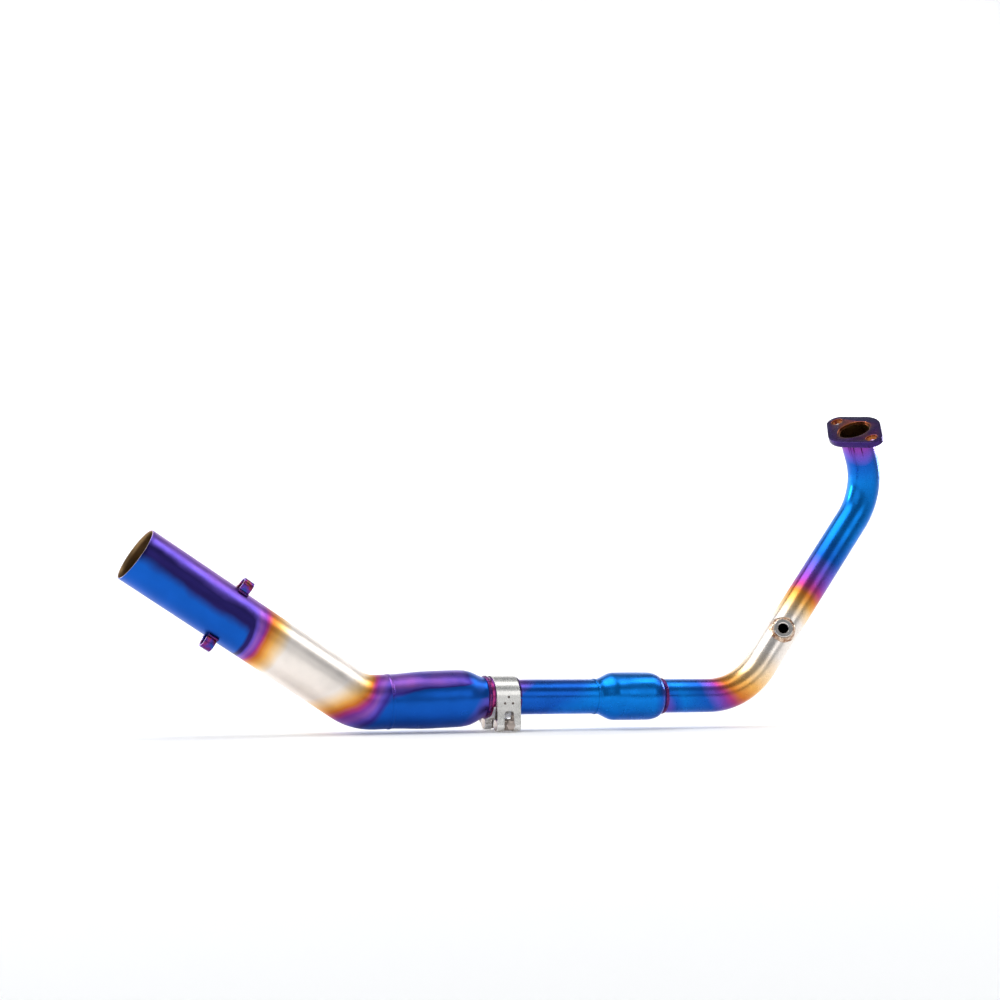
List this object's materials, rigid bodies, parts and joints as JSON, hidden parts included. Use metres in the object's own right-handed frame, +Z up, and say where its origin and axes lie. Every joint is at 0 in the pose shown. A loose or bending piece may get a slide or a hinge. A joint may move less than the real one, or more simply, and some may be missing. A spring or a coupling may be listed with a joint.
{
  "type": "motorcycle exhaust front section",
  "caption": "Curved exhaust pipe with a flanged head end, sensor boss and small resonator, joined by a band clamp to a wide rear tube with spring hooks.",
  "frame": {"origin": "centre of the head flange's gasket face", "axes": "+X towards the front of the motorcycle, along the slip joint's axis; +Z up; -Y towards the outer side, where the sensor boss points"},
  "size_m": [0.8002, 0.126, 0.3347],
  "materials": {
    "heat_tinted_steel": "polished stainless steel with heat tints from gold through violet to blue",
    "plain_steel": "turned stainless steel",
    "weld_bead": "rippled weld bead with gold and violet tints",
    "clamp_steel": "bright stainless strap and zinc plated screw",
    "graphite": "pressed graphite, matte"
  },
  "bodies": {
    "header": {"head_flange": "heat_tinted_steel", "flange_weld": "weld_bead", "header_pipe": "heat_tinted_steel", "sensor_bung": "plain_steel", "bung_weld": "weld_bead", "resonator_shell": "heat_tinted_steel", "resonator_front_weld": "weld_bead", "resonator_rear_weld": "weld_bead", "connector_pipe": "heat_tinted_steel"},
    "gasket": {"joint_gasket": "graphite"},
    "rear_section": {"slip_collar": "heat_tinted_steel", "collar_weld": "weld_bead", "chamber_shell": "heat_tinted_steel", "elbow_weld": "weld_bead", "tail_tube": "heat_tinted_steel", "upper_spring_hook": "heat_tinted_steel", "upper_spring_hook_inner_weld": "weld_bead", "upper_spring_hook_outer_weld": "weld_bead", "lower_spring_hook": "heat_tinted_steel", "lower_spring_hook_inner_weld": "weld_bead", "lower_spring_hook_outer_weld": "weld_bead"},
    "clamp": {"clamp_band": "clamp_steel", "clamp_bridge": "clamp_steel", "front_barrel": "clamp_steel", "rear_barrel": "clamp_steel"},
    "washer": {"bolt_washer": "clamp_steel"},
    "bolt": {"clamp_bolt": "clamp_steel"}
  },
  "joints": [
    {"name": "pipe_twist", "type": "hinge", "parent": "header", "child": "gasket", "pos_m": [-0.39282, 0.02703, -0.28279], "axis": [1, 0, 0], "range_deg": [-30, 30]},
    {"name": "pipe_pull", "type": "slide", "parent": "gasket", "child": "rear_section", "axis": [-1, 0, 0], "range_m": [0, 0.035]},
    {"name": "clamp_turn", "type": "hinge", "parent": "rear_section", "child": "clamp", "pos_m": [-0.39132, 0.02703, -0.28279], "axis": [1, 0, 0], "continuous": true},
    {"name": "bolt_travel", "type": "slide", "parent": "clamp", "child": "washer", "axis": [0, -1, 0], "range_m": [0, 0.008]},
    {"name": "bolt_spin", "type": "hinge", "parent": "washer", "child": "bolt", "pos_m": [-0.39132, 0.02703, -0.30829], "axis": [0, -1, 0], "range_deg": [0, 3600]}
  ],
  "couplings": [
    {"joint": "bolt_spin", "follows": "bolt_travel", "rad_per_m": 7854}
  ]
}
